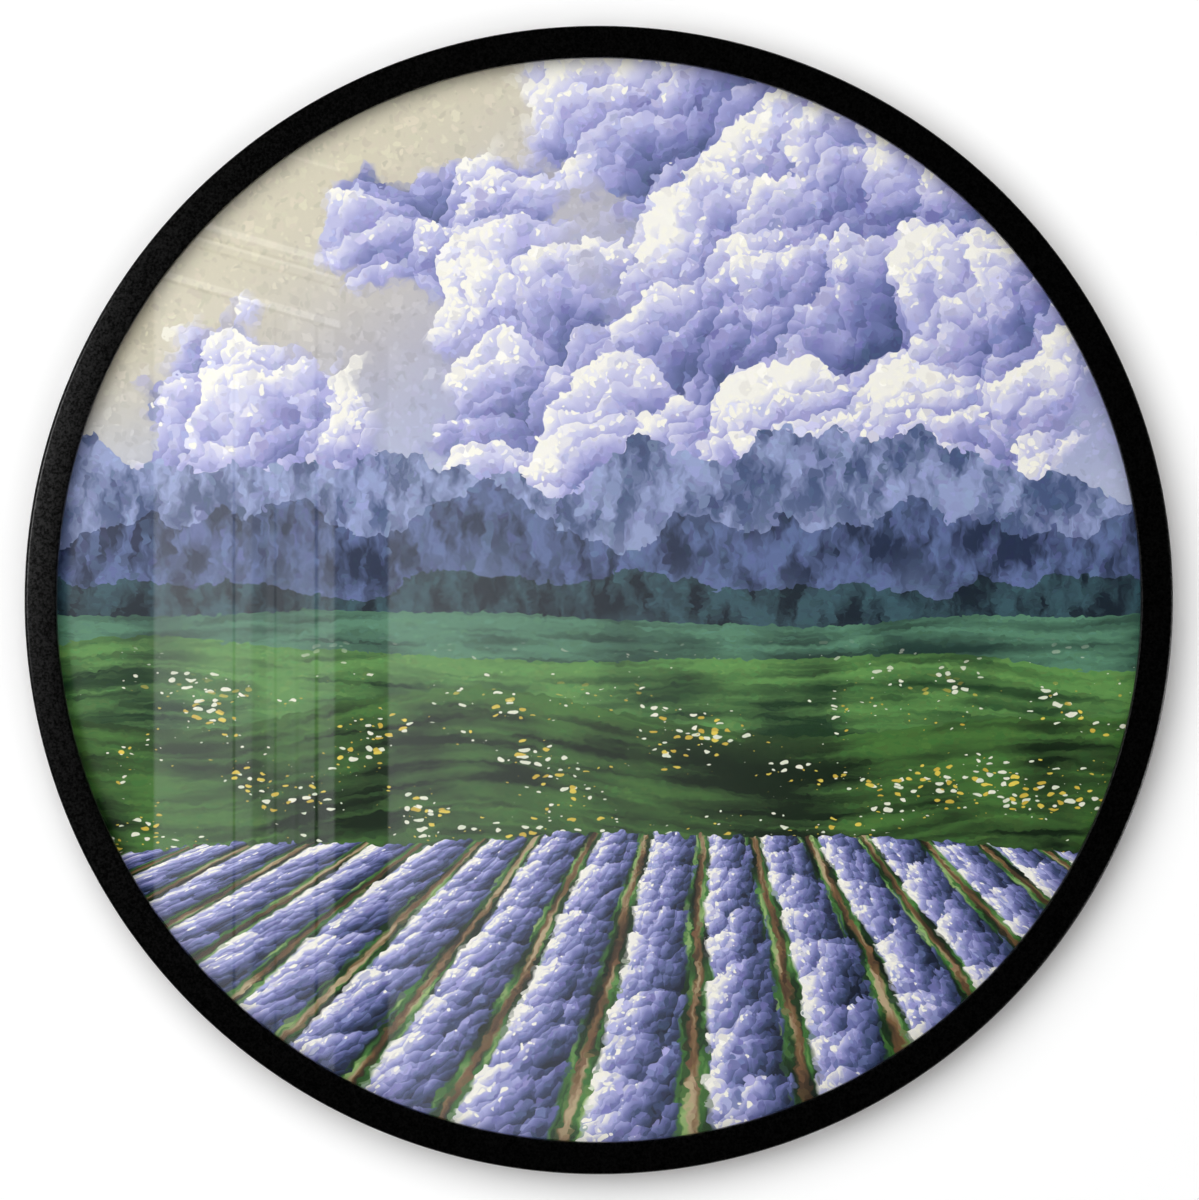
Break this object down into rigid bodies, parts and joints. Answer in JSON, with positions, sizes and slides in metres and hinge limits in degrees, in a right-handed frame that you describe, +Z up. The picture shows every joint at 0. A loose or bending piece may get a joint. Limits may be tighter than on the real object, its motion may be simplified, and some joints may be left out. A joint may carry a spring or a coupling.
{
  "type": "framed poster",
  "caption": "Round wall poster in a slim black ring frame, with a clear front sheet, backing boards held by turn buttons, a sawtooth hanger and bumpers.",
  "frame": {"origin": "centre of the backing board's rear face, which is flush with the ring's rear face; the wall's plane is 4 mm behind it", "axes": "+Z up as the poster hangs, -Y the way the picture faces, +X to the viewer's right"},
  "size_m": [0.61, 0.023, 0.61],
  "materials": {
    "black_painted_board": "matte",
    "clear_acrylic": "gloss",
    "printed_paper": "satin",
    "foam_board": "matte",
    "hardboard": "matte",
    "zinc_plated_steel": "satin",
    "screw_steel": "satin",
    "black_rubber": "matte"
  },
  "bodies": {
    "framed_poster": {"frame_ring": "black_painted_board", "glazing_panel": "clear_acrylic", "poster_print": "printed_paper", "filler_board": "foam_board", "backing_board": "hardboard", "turn_button_screw_1": "screw_steel", "turn_button_screw_2": "screw_steel", "turn_button_screw_3": "screw_steel", "turn_button_screw_4": "screw_steel", "turn_button_screw_5": "screw_steel", "turn_button_screw_6": "screw_steel", "turn_button_screw_7": "screw_steel", "turn_button_screw_8": "screw_steel", "sawtooth_hanger": "zinc_plated_steel", "hanger_nail_left": "screw_steel", "hanger_nail_right": "screw_steel", "wall_bumper_1": "black_rubber", "wall_bumper_2": "black_rubber", "wall_bumper_3": "black_rubber", "wall_bumper_4": "black_rubber"},
    "turn_button_1": {"turn_button_1": "zinc_plated_steel"},
    "turn_button_2": {"turn_button_2": "zinc_plated_steel"},
    "turn_button_3": {"turn_button_3": "zinc_plated_steel"},
    "turn_button_4": {"turn_button_4": "zinc_plated_steel"},
    "turn_button_5": {"turn_button_5": "zinc_plated_steel"},
    "turn_button_6": {"turn_button_6": "zinc_plated_steel"},
    "turn_button_7": {"turn_button_7": "zinc_plated_steel"},
    "turn_button_8": {"turn_button_8": "zinc_plated_steel"}
  },
  "joints": [
    {"name": "turn_button_1_pivot", "type": "hinge", "parent": "framed_poster", "child": "turn_button_1", "pos_m": [0.2767, 0.00075, 0.11461], "axis": [0, 1, 0], "continuous": true},
    {"name": "turn_button_2_pivot", "type": "hinge", "parent": "framed_poster", "child": "turn_button_2", "pos_m": [0.11461, 0.00075, 0.2767], "axis": [0, 1, 0], "continuous": true},
    {"name": "turn_button_3_pivot", "type": "hinge", "parent": "framed_poster", "child": "turn_button_3", "pos_m": [-0.11461, 0.00075, 0.2767], "axis": [0, 1, 0], "continuous": true},
    {"name": "turn_button_4_pivot", "type": "hinge", "parent": "framed_poster", "child": "turn_button_4", "pos_m": [-0.2767, 0.00075, 0.11461], "axis": [0, 1, 0], "continuous": true},
    {"name": "turn_button_5_pivot", "type": "hinge", "parent": "framed_poster", "child": "turn_button_5", "pos_m": [-0.2767, 0.00075, -0.11461], "axis": [0, 1, 0], "continuous": true},
    {"name": "turn_button_6_pivot", "type": "hinge", "parent": "framed_poster", "child": "turn_button_6", "pos_m": [-0.11461, 0.00075, -0.2767], "axis": [0, 1, 0], "continuous": true},
    {"name": "turn_button_7_pivot", "type": "hinge", "parent": "framed_poster", "child": "turn_button_7", "pos_m": [0.11461, 0.00075, -0.2767], "axis": [0, 1, 0], "continuous": true},
    {"name": "turn_button_8_pivot", "type": "hinge", "parent": "framed_poster", "child": "turn_button_8", "pos_m": [0.2767, 0.00075, -0.11461], "axis": [0, 1, 0], "continuous": true}
  ]
}
